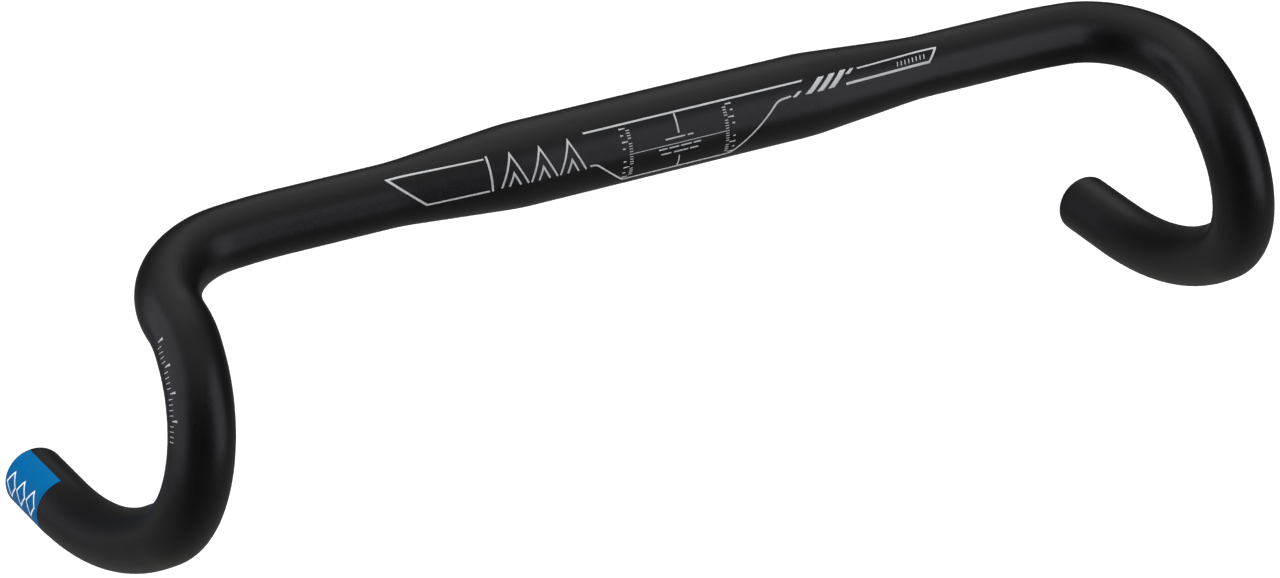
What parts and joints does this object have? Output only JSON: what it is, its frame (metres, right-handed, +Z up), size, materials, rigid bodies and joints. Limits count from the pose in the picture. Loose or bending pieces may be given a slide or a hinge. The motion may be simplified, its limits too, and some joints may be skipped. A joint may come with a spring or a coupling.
{
  "type": "drop handlebar",
  "caption": "Compact flared road and gravel drop handlebar: one bent alloy tube with a thick round stem clamp, tapered tops, short-reach hooks and level open drop ends.",
  "frame": {"origin": "middle of the stem clamp, on the tube's centre line", "axes": "+X along the bar towards the rider's left, -Y towards the front of the bicycle, +Z up with both drops level"},
  "size_m": [0.4858, 0.1445, 0.1413],
  "materials": {
    "tube_finish": "bead blasted and black anodised",
    "print_ink": "screen printed, satin",
    "label_vinyl": "glossy vinyl",
    "label_print": "printed, satin"
  },
  "bodies": {
    "root": {"handlebar_tube": "tube_finish", "end_label": "label_vinyl", "end_label_emblem": "label_print", "right_panel_outline": "print_ink", "right_panel_rule": "print_ink", "ridge_emblem": "print_ink", "clamp_panel_upper_line": "print_ink", "clamp_panel_lower_line": "print_ink", "centre_mark_upper": "print_ink", "centre_mark_lower": "print_ink", "level_line": "print_ink", "clamp_scale_left_fine": "print_ink", "clamp_scale_left_coarse": "print_ink", "clamp_scale_right_fine": "print_ink", "clamp_scale_right_coarse": "print_ink", "data_rows": "print_ink", "slanted_dots": "print_ink", "slanted_bars": "print_ink", "left_panel_outline": "print_ink", "left_panel_ticks": "print_ink", "lever_scale_left": "print_ink", "lever_scale_right": "print_ink"}
  },
  "joints": []
}
